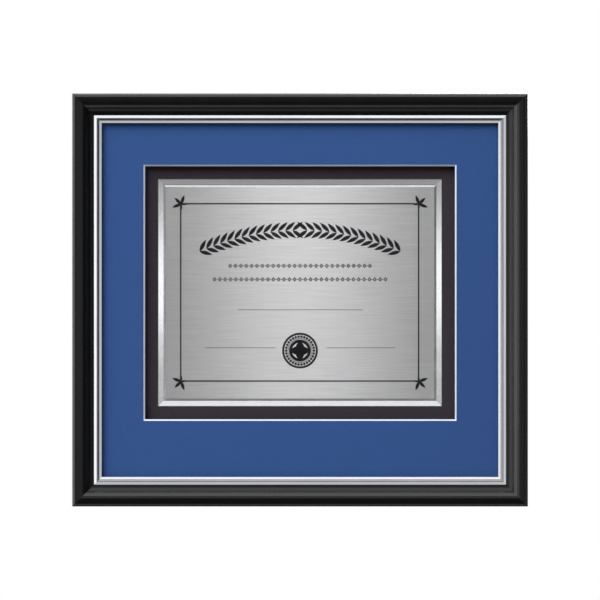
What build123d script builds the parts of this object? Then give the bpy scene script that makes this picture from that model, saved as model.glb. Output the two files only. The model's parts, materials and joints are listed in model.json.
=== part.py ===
from build123d import *
from math import radians, tan
import os

# Certificate frame: black lacquered rails with a silver inner slip, a glazed blue mat and an engraved plate.
# X runs to the right, Z up, and Y from the viewer to the wall, so the front faces -Y. Sizes are millimetres.
# The origin is the centre of the whole frame's box. Depths run forward from the rails' back faces,
# and setbacks run inward from a rail's outer side.

# Plate, and what shows round it from the front
plate_width = 254.0
plate_height = 203.2
plate_reveal = 11.0
mat_margin_side = 37.15
mat_margin_top = 37.05
mat_margin_bottom = 49.95

# Layers in the rabbet, from the front to the back
glazing_thickness = 2.0
mat_thickness = 1.8
spacer_thickness = 5.9
spacer_width = 20.0
mount_board_thickness = 1.5
backing_thickness = 3.0
backing_recess = 0.3
layer_side_clearance = 0.8

# Plate stack on the mount board
tape_thickness = 1.0
tape_setback = 12.0
border_plate_thickness = 3.4
border_floor_thickness = 1.0
border_rim_land = 0.3
border_slope_width = 4.8
certificate_fit_clearance = 0.2
certificate_plate_thickness = 1.0
certificate_bevel_width = 1.6
certificate_bevel_drop = 0.7

# Black moulding section
black_face_width = 19.2
rabbet_width = 6.35
lip_thickness = 1.8
crest_setback = 7.2
nose_radius = 7.0
band_slope = 12.0
scoop_slope = 56.0
scoop_rise = 6.4
shoulder_radius = 4.5
quirk_step = 0.4

# Silver slip section: widths across the face, and heights above its seat on the lip
slip_outer_facet_width = 3.1
slip_groove_width = 1.75
slip_inner_facet_width = 2.2
slip_outer_height = 1.7
slip_crest_height = 2.8
slip_groove_height = 1.4
slip_inner_height = 1.6
slip_edge_height = 0.9

# V-nails across the mitres, driven flush with the back faces
nail_wing = 4.5
nail_thickness = 0.6
nail_depth = 10.0
nail_setbacks = (5.0, 12.0)

# Turn buttons that hold the backing in
button_length = 28.0
button_width = 9.0
button_thickness = 1.2
button_play = 0.1
button_bore_clearance = 0.05
button_pivot_setback = 12.0
button_corner_distance_long = 90.0
button_corner_distance_side = 72.0

# Pan head wood screws
screw_diameter = 3.0
screw_length = 11.0
screw_tip_length = 3.0
screw_tip_diameter = 0.6
screw_head_diameter = 6.4
screw_head_height = 1.7
screw_head_round = 0.7
screw_recess_length = 3.6
screw_recess_width = 0.8
screw_recess_depth = 0.9

# Strap hangers and the rings in their barrels
hanger_corner_distance = 122.0
strap_width = 10.0
strap_thickness = 1.0
strap_seam = 0.15
strap_end_setback = 3.2
strap_screw_setback = 8.6
strap_bore_clearance = 0.1
barrel_setback = 17.5
ring_wire_diameter = 2.2
ring_bore_clearance = 0.1
ring_side_clearance = 0.5
ring_corner_radius = 2.5
ring_leg_length = 8.0

# Bumpers that meet the wall, proud of the hangers
bumper_diameter = 11.0
bumper_round = 1.0
bumper_setback = 10.0
bumper_corner_distance = 30.0
hanger_wall_clearance = 0.6

# Spare length on cutting shapes
cut_margin = 5.0

# Front view, worked out from the sizes above
window_width = plate_width + 2 * plate_reveal
window_height = plate_height + 2 * plate_reveal
window_rise = (mat_margin_bottom - mat_margin_top) / 2
border_floor_width = plate_width - 2 * (border_rim_land + border_slope_width)
border_floor_height = plate_height - 2 * (border_rim_land + border_slope_width)
sight_width = window_width + 2 * (mat_thickness + mat_margin_side)
sight_height = window_height + 2 * mat_thickness + mat_margin_top + mat_margin_bottom
slip_face_width = slip_outer_facet_width + slip_groove_width + slip_inner_facet_width
face_width = black_face_width + slip_face_width
frame_width = sight_width + 2 * face_width
frame_height = sight_height + 2 * face_width
layer_width = sight_width + 2 * (rabbet_width - layer_side_clearance)
layer_height = sight_height + 2 * (rabbet_width - layer_side_clearance)

# Depths, worked out from the sizes above
backing_front = backing_recess + backing_thickness
mount_board_front = backing_front + mount_board_thickness
spacer_front = mount_board_front + spacer_thickness
mat_front = spacer_front + mat_thickness
rabbet_depth = mat_front + glazing_thickness
tape_front = mount_board_front + tape_thickness
border_front = tape_front + border_plate_thickness
border_floor = tape_front + border_floor_thickness
certificate_front = border_floor + certificate_plate_thickness
slip_seat = rabbet_depth + lip_thickness
scoop_foot = slip_seat + slip_outer_height + quirk_step
crest = scoop_foot + scoop_rise
button_back = -(button_play + button_thickness)
button_screw_seat = button_back - button_play
strap_back = -(2 * strap_thickness + strap_seam)
ring_wire_radius = ring_wire_diameter / 2
barrel_bore_radius = ring_wire_radius + ring_bore_clearance
barrel_radius = barrel_bore_radius + strap_thickness
bumper_height = 2 * barrel_radius + hanger_wall_clearance
rail_back = (crest - bumper_height) / 2

# Places along the rails, from each rail's middle, before the rail is turned from the bottom to its side
button_along_long = frame_width / 2 - button_corner_distance_long
button_along_side = frame_height / 2 - button_corner_distance_side
hanger_along = frame_height / 2 - hanger_corner_distance
bumper_along = frame_width / 2 - bumper_corner_distance

side_turns = {"bottom": 0, "right": -90, "top": 180, "left": 90}
long_sides = ("top", "bottom")
button_places = {
    "turn_button_top_left": ("top", button_along_long),
    "turn_button_top_right": ("top", -button_along_long),
    "turn_button_bottom_left": ("bottom", -button_along_long),
    "turn_button_bottom_right": ("bottom", button_along_long),
    "turn_button_left_upper": ("left", -button_along_side),
    "turn_button_left_lower": ("left", button_along_side),
    "turn_button_right_upper": ("right", button_along_side),
    "turn_button_right_lower": ("right", -button_along_side),
}
hanger_places = {"left": -hanger_along, "right": hanger_along}


def side_length(side):
    """Outer length of the rail on one side."""
    return frame_width if side in long_sides else frame_height


def side_distance(side):
    """Distance from the frame's middle to the outer side of one rail."""
    return (frame_height if side in long_sides else frame_width) / 2


def slab(face, back, front):
    """Solid from a face drawn in X and Z, between two depths."""
    return extrude(Plane.XZ.offset(back - rail_back) * face, front - back)


def taper(width, height, inset, back, front):
    """Four-sided block about the window's middle that draws in by inset from back to front."""
    outlines = []
    for depth, draw in ((back, 0), (front, inset)):
        face = Pos(0, window_rise) * Rectangle(width - 2 * draw, height - 2 * draw)
        outlines.append(Plane.XZ.offset(depth - rail_back) * face)
    return loft(outlines)


def border_plate():
    """Dished plate whose rim slopes inward to the floor that the certificate plate lies on."""
    base = slab(Pos(0, window_rise) * Rectangle(plate_width, plate_height), tape_front, border_front)
    dish = taper(border_floor_width, border_floor_height, -border_slope_width, border_floor, border_front)
    return base - dish


def certificate_plate():
    """Engraving plate whose front edges fall away in a bevel."""
    width = border_floor_width - 2 * certificate_fit_clearance
    height = border_floor_height - 2 * certificate_fit_clearance
    edge = certificate_front - certificate_bevel_drop
    base = slab(Pos(0, window_rise) * Rectangle(width, height), border_floor, edge)
    return base + taper(width, height, certificate_bevel_width, edge, certificate_front)


def on_rail(side, along, setback, shape):
    """Moves a shape, drawn with +Z pointing inward, to a place on one rail."""
    return Rot(0, side_turns[side], 0) * Pos(along, 0, setback - side_distance(side)) * shape


def mitred_stick(section, side):
    """Stick of one section with both ends mitred, on one side of the frame."""
    half = side_length(side) / 2
    foot = -side_distance(side)
    start = Plane(origin=(-half, rail_back, foot), x_dir=(0, 0, 1), z_dir=(1, 0, 0))
    bar = extrude(start * section, 2 * half)
    inner = face_width + cut_margin
    mitre = Polygon(
        (-half - cut_margin, foot - cut_margin),
        (half + cut_margin, foot - cut_margin),
        (half - inner, foot + inner),
        (inner - half, foot + inner),
        align=None,
    )
    return Rot(0, side_turns[side], 0) * (bar & slab(mitre, -cut_margin, crest + cut_margin))


def rail_section():
    """Black moulding: rounded shoulder, rising band, round nose, scooped inner slope, lip and rabbet."""
    rabbet_wall = face_width - rabbet_width
    nose_centre = (crest_setback, crest - nose_radius)
    nose = CenterArc(nose_centre, nose_radius, 90 + band_slope, -band_slope - scoop_slope)
    band_end = nose @ 0
    shoulder = (0, band_end.Y - band_end.X * tan(radians(band_slope)))
    scoop = TangentArc(nose @ 1, (black_face_width, scoop_foot), tangent=nose % 1)
    outline = Polyline(
        (black_face_width, scoop_foot),
        (black_face_width, slip_seat),
        (face_width, slip_seat),
        (face_width, rabbet_depth),
        (rabbet_wall, rabbet_depth),
        (rabbet_wall, 0),
        (0, 0),
        shoulder,
        band_end,
    )
    face = make_face(outline + nose + scoop)
    return fillet(face.vertices().sort_by_distance(shoulder)[0], shoulder_radius)


def slip_section():
    """Silver slip: a facet that faces outward, a groove that slopes inward and a facet that faces inward."""
    groove_start = black_face_width + slip_outer_facet_width
    groove_end = groove_start + slip_groove_width
    return make_face(Polyline(
        (black_face_width, slip_seat),
        (black_face_width, slip_seat + slip_outer_height),
        (groove_start, slip_seat + slip_crest_height),
        (groove_end, slip_seat + slip_groove_height),
        (groove_end, slip_seat + slip_inner_height),
        (face_width, slip_seat + slip_edge_height),
        (face_width, slip_seat),
        close=True,
    ))


def v_nail():
    """Bent steel nail whose two wings reach into the two rails of a mitre."""
    wings = Polygon(
        (0, 0),
        (nail_wing, 0),
        (nail_wing, nail_thickness),
        (nail_thickness, nail_thickness),
        (nail_thickness, nail_wing),
        (0, nail_wing),
        align=None,
    )
    return slab(wings, 0, nail_depth)


def corner_v_nails():
    """Nails at the start of each rail, which are all four mitres."""
    nails = []
    for side in side_turns:
        for setback in nail_setbacks:
            nails.append(on_rail(side, setback - side_length(side) / 2, setback, v_nail()))
    return nails


def pan_head_screw(seat):
    """Screw at the origin of X and Z whose head bears on a surface at one depth."""
    radius = screw_diameter / 2
    slot = Rectangle(screw_recess_length, screw_recess_width)
    recess = slot + Rot(0, 0, 90) * slot
    head = slab(Circle(screw_head_diameter / 2), seat - screw_head_height, seat)
    head = fillet(head.edges().sort_by(Axis.Y)[-1], screw_head_round)
    head -= slab(recess, seat - screw_head_height, seat - screw_head_height + screw_recess_depth)
    tip_start = seat + screw_length - screw_tip_length
    shank = slab(Circle(radius), seat, tip_start)
    tip_outlines = [
        Plane.XZ.offset(depth - rail_back) * Circle(size)
        for depth, size in ((tip_start, radius), (tip_start + screw_tip_length, screw_tip_diameter / 2))
    ]
    return head + shank + loft(tip_outlines)


def turn_button_screws():
    """One screw through each turn button."""
    return [
        on_rail(side, along, button_pivot_setback, pan_head_screw(button_screw_seat))
        for side, along in button_places.values()
    ]


def hanger_screws():
    """One screw through each strap."""
    return [
        on_rail(side, along, strap_screw_setback, pan_head_screw(strap_back))
        for side, along in hanger_places.items()
    ]


def turn_button(side, along):
    """Flat button with round ends, turned inward over the backing."""
    reach = button_length - button_width
    outline = Pos(0, reach / 2) * SlotCenterToCenter(reach, button_width, rotation=90)
    outline -= Circle(screw_diameter / 2 + button_bore_clearance)
    return on_rail(side, along, button_pivot_setback, slab(outline, button_back, -button_play))


def barrel_rod(radius):
    """Round bar along the barrel's axis, at the origin of X and Z."""
    axis = Plane(origin=(-strap_width / 2, rail_back + barrel_radius, 0), z_dir=(1, 0, 0))
    return extrude(axis * Circle(radius), strap_width)


def strap_hanger(side, along):
    """Strap folded round the ring's bar, with both leaves on the rail."""
    leaf_length = barrel_setback - ring_wire_radius - strap_end_setback - strap_width / 2
    leaf = Pos(0, leaf_length / 2) * Rectangle(strap_width, leaf_length) + Circle(strap_width / 2)
    leaf_setback = strap_end_setback + strap_width / 2
    leaf = Pos(0, leaf_setback - barrel_setback) * leaf
    leaf -= Pos(0, strap_screw_setback - barrel_setback) * Circle(screw_diameter / 2 + strap_bore_clearance)
    strap = slab(leaf, -strap_thickness, 0)
    strap += slab(leaf, strap_back, -strap_thickness - strap_seam)
    strap += barrel_rod(barrel_radius)
    strap -= barrel_rod(barrel_bore_radius)
    return on_rail(side, along, barrel_setback, strap)


def hanging_ring(side, along):
    """Wire ring with one straight bar, which turns in the strap's barrel."""
    half_width = strap_width / 2 + ring_side_clearance + ring_corner_radius
    outline = Pos(0, ring_leg_length / 2) * Rectangle(2 * half_width, ring_leg_length)
    outline += Pos(0, ring_leg_length) * Circle(half_width)
    loop = fillet(outline.vertices().sort_by(Axis.Y)[:2], ring_corner_radius)
    path = (Plane.XZ.offset(-rail_back - barrel_radius) * loop).face().outer_wire()
    wire = Plane(origin=path @ 0, z_dir=path % 0) * Circle(ring_wire_radius)
    return on_rail(side, along, barrel_setback, sweep(wire, path=path))


def wall_bumpers():
    """Round pads near the four corners, on the backs of the long rails."""
    pad = slab(Circle(bumper_diameter / 2), -bumper_height, 0)
    pad = fillet(pad.edges().sort_by(Axis.Y)[-1], bumper_round)
    return [
        on_rail(side, along, bumper_setback, pad)
        for side in long_sides
        for along in (-bumper_along, bumper_along)
    ]


def window_mat():
    """Mat board with a window cut at 45 degrees, set above the middle."""
    board = slab(Rectangle(layer_width, layer_height), spacer_front, mat_front)
    return board - taper(window_width, window_height, -mat_thickness, spacer_front, mat_front)


def spacers():
    """Foam strips round the edge, which hold the mat off the mount board."""
    rise = (layer_height - spacer_width) / 2
    run = (layer_width - spacer_width) / 2
    long_strip = Rectangle(layer_width, spacer_width)
    short_strip = Rectangle(spacer_width, layer_height - 2 * spacer_width)
    strips = {
        "top_spacer": Pos(0, rise) * long_strip,
        "bottom_spacer": Pos(0, -rise) * long_strip,
        "left_spacer": Pos(-run, 0) * short_strip,
        "right_spacer": Pos(run, 0) * short_strip,
    }
    return {name: slab(strip, mount_board_front, spacer_front) for name, strip in strips.items()}


def frame_nodes():
    """Every piece of the frame, by its node's name."""
    layer = Rectangle(layer_width, layer_height)
    tape = Rectangle(plate_width - 2 * tape_setback, plate_height - 2 * tape_setback)
    nails = corner_v_nails()
    button_screws = turn_button_screws()
    strap_screws = hanger_screws()
    nodes = {}
    for side in side_turns:
        rail = mitred_stick(rail_section(), side)
        nodes[f"{side}_rail"] = rail - nails - button_screws - strap_screws
        nodes[f"{side}_slip"] = mitred_stick(slip_section(), side)
    nodes["corner_v_nails"] = Compound(nails)
    nodes["glazing_sheet"] = slab(layer, mat_front, rabbet_depth)
    nodes["window_mat"] = window_mat()
    nodes.update(spacers())
    nodes["mount_board"] = slab(layer, backing_front, mount_board_front)
    nodes["plate_tape"] = slab(Pos(0, window_rise) * tape, mount_board_front, tape_front)
    nodes["border_plate"] = border_plate()
    nodes["certificate_plate"] = certificate_plate()
    nodes["backing_board"] = slab(layer, backing_recess, backing_front)
    for name, (side, along) in button_places.items():
        nodes[name] = turn_button(side, along)
    nodes["turn_button_screws"] = Compound(button_screws)
    for side, along in hanger_places.items():
        nodes[f"{side}_strap_hanger"] = strap_hanger(side, along)
        nodes[f"{side}_hanging_ring"] = hanging_ring(side, along)
    nodes["hanger_screws"] = Compound(strap_screws)
    nodes["wall_bumpers"] = Compound(wall_bumpers())
    return nodes


os.makedirs("parts", exist_ok=True)
for node_name, node_shape in frame_nodes().items():
    export_step(node_shape, f"parts/{node_name}.step")
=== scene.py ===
"""Looks of a certificate frame: black lacquered rails, silver slips, a blue mat and an engraved plate.

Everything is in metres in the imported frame's own axes: X to the right, Z up, Y from the viewer to the wall.
"""

import json
import logging
import math
from dataclasses import dataclass, field, replace
from enum import Enum
from functools import cache
from typing import Sequence

import bmesh
import bpy
from bmesh.types import BMEdge, BMesh, BMFace, BMVert
from mathutils import Matrix, Vector


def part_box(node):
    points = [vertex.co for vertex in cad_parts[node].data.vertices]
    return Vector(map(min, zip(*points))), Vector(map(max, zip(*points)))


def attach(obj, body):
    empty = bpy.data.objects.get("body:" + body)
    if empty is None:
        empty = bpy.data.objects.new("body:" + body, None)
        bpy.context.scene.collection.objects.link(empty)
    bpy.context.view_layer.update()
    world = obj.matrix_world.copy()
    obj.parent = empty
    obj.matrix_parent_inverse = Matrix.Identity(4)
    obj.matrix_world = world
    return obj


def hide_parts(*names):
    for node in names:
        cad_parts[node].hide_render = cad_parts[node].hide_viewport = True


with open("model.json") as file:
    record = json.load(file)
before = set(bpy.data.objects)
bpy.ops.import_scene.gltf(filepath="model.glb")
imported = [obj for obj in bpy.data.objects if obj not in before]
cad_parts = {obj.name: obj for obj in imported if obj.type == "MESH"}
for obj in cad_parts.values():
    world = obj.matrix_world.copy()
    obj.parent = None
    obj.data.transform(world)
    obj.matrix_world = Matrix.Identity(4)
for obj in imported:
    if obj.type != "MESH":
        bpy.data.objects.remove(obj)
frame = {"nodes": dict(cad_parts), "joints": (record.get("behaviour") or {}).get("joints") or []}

MM = 0.001
FRAME_BODY = "frame"
FLOOR_NAME = "studio_floor"
LENGTHWISE_MAP = "lengthwise"
# Least angle between two faces of a piece that shows as an edge.
SHARP_ANGLE = math.radians(32)
# Greatest angle between a plate's front and a face that still counts as flat.
FLAT_FACES = math.radians(1)
# Share of a whole turn by which a brushed highlight is turned off the grain.
ACROSS_THE_GRAIN = 0.25
# Values that nearly all of the noise behind a grain lies between.
NOISE_LOW = 0.3
NOISE_HIGH = 0.7
# Radius, or half the side, of a flat shape one unit in size.
UNIT_RADIUS = 0.5
# Power of a lamp's panel, per square metre, that gives it a radiance of 1.
PANEL_POWER = 4.0
# Where the slips stand on the rails: distance in from the outer side, and height above the rails' back.
SLIP_SETBACK = 19.2 * MM
SLIP_SEAT = 16.3 * MM
# Rotation that stands a flat shape up to face the viewer.
UPRIGHT = Matrix.Rotation(math.pi / 2, 4, "X")

log = logging.getLogger("certificate_frame")

Colour = tuple[float, float, float, float]
Point = tuple[float, float, float]


def linear(hex_code: str) -> Colour:
    """Turns an sRGB colour into linear light.

    Args:
        hex_code: Colour as "#RRGGBB".

    Returns:
        Linear red, green and blue, with full alpha.
    """
    values = [int(hex_code[start:start + 2], 16) / 255 for start in (1, 3, 5)]
    red, green, blue = (v / 12.92 if v <= 0.04045 else ((v + 0.055) / 1.055) ** 2.4 for v in values)
    return red, green, blue, 1.0


def add_node(
    tree: bpy.types.NodeTree, kind: str, inputs: dict | None = None, **settings: object,
) -> bpy.types.Node:
    """Adds one shader node with its settings, values and links.

    Args:
        tree: Node tree that takes the node.
        kind: Blender's name of the node's type.
        inputs: Values or output sockets, by the name or number of the input that takes them.
        **settings: Attributes of the node itself.

    Returns:
        The new node.
    """
    node = tree.nodes.new(kind)
    for name, value in settings.items():
        setattr(node, name, value)
    for name, value in (inputs or {}).items():
        if isinstance(value, bpy.types.NodeSocket):
            tree.links.new(value, node.inputs[name])
        else:
            node.inputs[name].default_value = value
    return node


class Pattern(Enum):
    """What a finish's grain follows: the frame's axes, or the length of the piece it lies on."""

    OBJECT = "Object"
    LENGTHWISE = "UV"


@dataclass(frozen=True)
class Finish:
    """A surface with a fine grain that varies its colour, gloss and height.

    Attributes:
        name: Material's name.
        slot: The record's material slot that it belongs to. Not used.
        dark: Colour in the grain's low places.
        light: Colour in the grain's high places.
        gloss: Roughness in the low and in the high places.
        grain: Size of the grain in millimetres along the pattern's three axes.
        relief: Height of the grain in millimetres.
        detail: How many finer levels the grain has.
        pattern: What the grain follows.
        metallic: 1 for bare metal.
        specular: Strength of the reflection on what isn't metal.
        brushing: How far reflections are drawn out across the grain, from 0 to 1.
    """

    name: str
    slot: str
    dark: str
    light: str
    gloss: tuple[float, float]
    grain: Point
    relief: float = 0.0
    detail: float = 3.0
    pattern: Pattern = Pattern.OBJECT
    metallic: float = 0.0
    specular: float = 0.5
    brushing: float = 0.0

    @cache
    def material(self) -> bpy.types.Material:
        """Makes the material, the first time that it is asked for.

        Returns:
            The material, with the finish's grain on its surface.
        """
        made = bpy.data.materials.new(self.name)
        made.use_nodes = True
        tree = made.node_tree
        tree.nodes.clear()
        height = self.grain_height(tree)
        gloss = add_node(tree, "ShaderNodeMapRange", {
            "Value": height, "To Min": self.gloss[0], "To Max": self.gloss[1]})
        surface = self.surface(tree, height, gloss.outputs["Result"])
        add_node(tree, "ShaderNodeOutputMaterial", {"Surface": surface})
        return made

    def surface(
        self, tree: bpy.types.NodeTree, height: bpy.types.NodeSocket, gloss: bpy.types.NodeSocket,
    ) -> bpy.types.NodeSocket:
        """Makes the shader, with the grain on its colour and its normal.

        Args:
            tree: The material's node tree.
            height: Output with the grain's height.
            gloss: Output with the roughness.

        Returns:
            The shader's output.
        """
        colour = add_node(tree, "ShaderNodeMix", {
            "Factor": height, "A": linear(self.dark), "B": linear(self.light)}, data_type="RGBA")
        shader = add_node(tree, "ShaderNodeBsdfPrincipled", {
            "Base Color": colour.outputs["Result"],
            "Roughness": gloss,
            "Metallic": self.metallic,
            "Specular IOR Level": self.specular,
            "Anisotropic": self.brushing,
            "Anisotropic Rotation": ACROSS_THE_GRAIN,
        })
        if self.relief:
            bump = add_node(tree, "ShaderNodeBump", {"Height": height, "Distance": self.relief * MM})
            tree.links.new(bump.outputs["Normal"], shader.inputs["Normal"])
        if self.brushing:
            tangent = add_node(tree, "ShaderNodeTangent", direction_type="UV_MAP", uv_map=LENGTHWISE_MAP)
            tree.links.new(tangent.outputs["Tangent"], shader.inputs["Tangent"])
        return shader.outputs["BSDF"]

    def grain_height(self, tree: bpy.types.NodeTree) -> bpy.types.NodeSocket:
        """Lays the grain over the surface.

        Args:
            tree: The material's node tree.

        Returns:
            Output that runs from 0 in the grain's low places to 1 in its high ones.
        """
        place = add_node(tree, "ShaderNodeTexCoord")
        scale = tuple(1 / (size * MM) for size in self.grain)
        mapping = add_node(tree, "ShaderNodeMapping", {
            "Vector": place.outputs[self.pattern.value], "Scale": scale})
        noise = add_node(tree, "ShaderNodeTexNoise", {
            "Vector": mapping.outputs["Vector"], "Scale": 1.0, "Detail": self.detail})
        spread = add_node(tree, "ShaderNodeMapRange", {
            "Value": noise.outputs["Fac"], "From Min": NOISE_LOW, "From Max": NOISE_HIGH})
        return spread.outputs["Result"]


@dataclass(frozen=True)
class ClearGlazing(Finish):
    """Low glare glazing: clear from the front, with the room's lights in it from the side.

    Attributes:
        head_on: Share of the light that it reflects when seen square on.
        edge_rise: Power by which that share grows to all of the light at a grazing angle.
    """

    head_on: float = 0.012
    edge_rise: float = 5.0

    def surface(
        self, tree: bpy.types.NodeTree, height: bpy.types.NodeSocket, gloss: bpy.types.NodeSocket,
    ) -> bpy.types.NodeSocket:
        """Makes a clear shader whose mirror image grows with the angle.

        Args:
            tree: The material's node tree.
            height: Output with the grain's height, which shows only in the roughness.
            gloss: Output with the roughness.

        Returns:
            The shader's output.
        """
        clear = add_node(tree, "ShaderNodeBsdfTransparent", {"Color": linear(self.light)})
        mirror = add_node(tree, "ShaderNodeBsdfGlossy", {"Color": linear(self.light), "Roughness": gloss})
        facing = add_node(tree, "ShaderNodeLayerWeight")
        rise = add_node(tree, "ShaderNodeMath", {
            0: facing.outputs["Facing"], 1: self.edge_rise}, operation="POWER")
        share = add_node(tree, "ShaderNodeMath", {
            0: rise.outputs["Value"], 1: 1 - self.head_on, 2: self.head_on}, operation="MULTIPLY_ADD")
        mixed = add_node(tree, "ShaderNodeMixShader", {
            0: share.outputs["Value"], 1: clear.outputs["BSDF"], 2: mirror.outputs["BSDF"]})
        return mixed.outputs["Shader"]


# Satin lacquer sprayed on wood: deep black with soft broad highlights and a faint orange peel.
BLACK_LACQUER = Finish(
    "satin_black_lacquer", "black_lacquer", "#121213", "#151516", (0.19, 0.22), (14.0, 14.0, 14.0),
    relief=0.001, specular=0.7)
# The same lacquer in the hollow of the scoop, where it can't be rubbed to a gloss: duller reflections.
HOLLOW_LACQUER = replace(BLACK_LACQUER, name="unrubbed_black_lacquer", gloss=(0.24, 0.28), specular=0.42)
# Silver foil drawn along the slip: bright, with fine streaks along its length.
SILVER_FOIL = Finish(
    "silver_foil", "silver_leaf", "#BFC1C5", "#D3D5D9", (0.12, 0.18), (45.0, 0.5, 0.5),
    relief=0.002, pattern=Pattern.LENGTHWISE, metallic=1.0)
# Painted shade in the slip's groove: a darker, duller grey that stands in for the shadow in the recess, a
# little uneven.
GROOVE_PAINTED_SHADE = Finish(
    "groove_painted_shade", "silver_leaf", "#94969A", "#A6A8AC", (0.28, 0.36), (30.0, 0.8, 0.8),
    pattern=Pattern.LENGTHWISE, metallic=1.0)
# Cotton mat board's face paper: matt blue with a faint fibre, drawn coarser than it is so that it shows.
BLUE_PAPER = Finish(
    "blue_mat_paper", "blue_mat", "#38578E", "#3D5B95", (0.88, 0.96), (1.1, 1.1, 1.1),
    relief=0.02, specular=0.0)
# Mat board's cut core: plain white, slightly fibrous.
WHITE_CORE = Finish(
    "white_mat_core", "blue_mat", "#DBE4F2", "#EBF3FF", (0.85, 0.95), (0.8, 0.8, 0.8),
    relief=0.02, specular=0.0)
# Black card: matt charcoal with a soft tooth.
BLACK_CARD = Finish(
    "black_card", "black_board", "#3B363B", "#423C42", (0.80, 0.90), (0.9, 0.9, 0.9),
    relief=0.02, specular=0.0)
# Polished aluminium: bright mirror with the least trace of buffing.
POLISHED_ALUMINIUM = Finish(
    "buffed_aluminium", "polished_aluminium", "#DEDFE2", "#ECEDF0", (0.16, 0.22), (14.0, 14.0, 14.0),
    metallic=1.0)
# Brushed aluminium: satin grey with fine streaks from side to side, which draw highlights out up and down.
# The streaks are drawn coarser than a real brush leaves them, so that they show.
BRUSHED_ALUMINIUM = Finish(
    "brushed_aluminium_sheet", "brushed_aluminium", "#CECECF", "#E0E0E1", (0.32, 0.38), (40.0, 0.7, 0.7),
    relief=0.001, detail=4.0, pattern=Pattern.LENGTHWISE, metallic=1.0, brushing=0.9)
# Engraving filled with black enamel: dull black, a little uneven.
BLACK_ENAMEL = Finish(
    "black_engraving_enamel", "brushed_aluminium", "#161719", "#222326", (0.45, 0.60), (1.5, 1.5, 1.5))
# Zinc plated steel: grey metal with a cloudy bloom.
ZINC_STEEL = Finish(
    "zinc_plated_steel", "zinc_steel", "#A9ACB0", "#C6C9CD", (0.28, 0.42), (3.5, 3.5, 3.5), metallic=1.0)
# Hardboard: pressed brown fibres, flecked lighter and darker.
HARDBOARD = Finish(
    "pressed_hardboard", "hardboard", "#543823", "#856243", (0.55, 0.75), (2.2, 2.2, 2.2),
    relief=0.04, detail=6.0, specular=0.3)
# Foam board: white foam with fine cells.
FOAM_BOARD = Finish(
    "white_foam_board", "foam_board", "#DCDCD8", "#F0F0EC", (0.8, 0.95), (0.9, 0.9, 0.9), relief=0.05)
# Foam tape: off-white foam with coarser cells.
FOAM_TAPE = Finish(
    "acrylic_foam_tape", "foam_tape", "#C8C8C2", "#E2E2DC", (0.8, 0.95), (0.6, 0.6, 0.6), relief=0.05)
# Moulded rubber: dull near-black with a fine bloom.
BUMPER_RUBBER = Finish(
    "moulded_rubber", "bumper_rubber", "#161617", "#222223", (0.6, 0.8), (1.2, 1.2, 1.2), relief=0.02)
# Glass with an anti-glare face: clear, with faint reflections.
GLAZING = ClearGlazing(
    "low_glare_glass", "clear_glazing", "#FCFCFC", "#FDFDFD", (0.02, 0.05), (60.0, 60.0, 60.0))
# Painted studio floor: pale and even.
FLOOR_PAINT = Finish(
    "pale_floor_paint", "", "#DCDCDC", "#E0E0E0", (0.8, 0.9), (90.0, 90.0, 90.0), specular=0.1)


def add_mesh(name: str, bm: BMesh, finishes: Sequence[Finish]) -> bpy.types.Object:
    """Turns a finished bmesh into an object at the origin.

    Args:
        name: Object's name.
        bm: Its shape, which is used up.
        finishes: Its materials, in the order of the faces' material numbers.

    Returns:
        The new object.
    """
    mesh = bpy.data.meshes.new(name)
    bm.to_mesh(mesh)
    bm.free()
    for finish in finishes:
        mesh.materials.append(finish.material())
    made = bpy.data.objects.new(name, mesh)
    bpy.context.scene.collection.objects.link(made)
    return made


def add_piece(
    name: str,
    bm: BMesh,
    finishes: Sequence[Finish],
    body: str = FRAME_BODY,
    replaced: Sequence[str] = (),
    sharp_angle: float = SHARP_ANGLE,
) -> None:
    """Turns a finished bmesh into a piece of the frame.

    Args:
        name: Piece's name.
        bm: Its shape, which is used up.
        finishes: Its materials, in the order of the faces' material numbers.
        body: CAD body that it moves with.
        replaced: CAD nodes that it stands for.
        sharp_angle: Least angle between two faces that shows as an edge.
    """
    bmesh.ops.recalc_face_normals(bm, faces=bm.faces[:])
    piece = add_mesh(name, bm, finishes)
    piece.data.shade_smooth()
    piece.data.set_sharp_from_angle(angle=sharp_angle)
    piece.modifiers.new("even_shading", "WEIGHTED_NORMAL").keep_sharp = True
    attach(piece, body)
    if replaced:
        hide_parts(*replaced)
    log.info("%s: %d faces, rides on %s", name, len(piece.data.polygons), body)


def dress_node(name: str, finish: Finish) -> None:
    """Gives a CAD node that stays in view its finish.

    Args:
        name: Node's name.
        finish: Its material.
    """
    node = frame["nodes"][name]
    node.data.materials.clear()
    node.data.materials.append(finish.material())
    log.info("%s: CAD node, %s", name, finish.name)


def map_lengthwise(bm: BMesh) -> None:
    """Gives a shape that lies along X a UV map in metres: along X, then up Z.

    Args:
        bm: The shape.
    """
    layer = bm.loops.layers.uv.new(LENGTHWISE_MAP)
    for face in bm.faces:
        for loop in face.loops:
            loop[layer].uv = (loop.vert.co.x, loop.vert.co.z)


def extrude(bm: BMesh, faces: Sequence[BMFace], way: Point, keep: bool = False) -> list[BMVert]:
    """Draws faces out into solids.

    Args:
        bm: Shape that they belong to.
        faces: Faces to draw out.
        way: How far their copies move.
        keep: Whether the faces themselves stay as the solids' other ends.

    Returns:
        The copies' vertices.
    """
    made = bmesh.ops.extrude_face_region(bm, geom=faces, use_keep_orig=keep)["geom"]
    moved = [item for item in made if isinstance(item, BMVert)]
    bmesh.ops.translate(bm, verts=moved, vec=way)
    return moved


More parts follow.
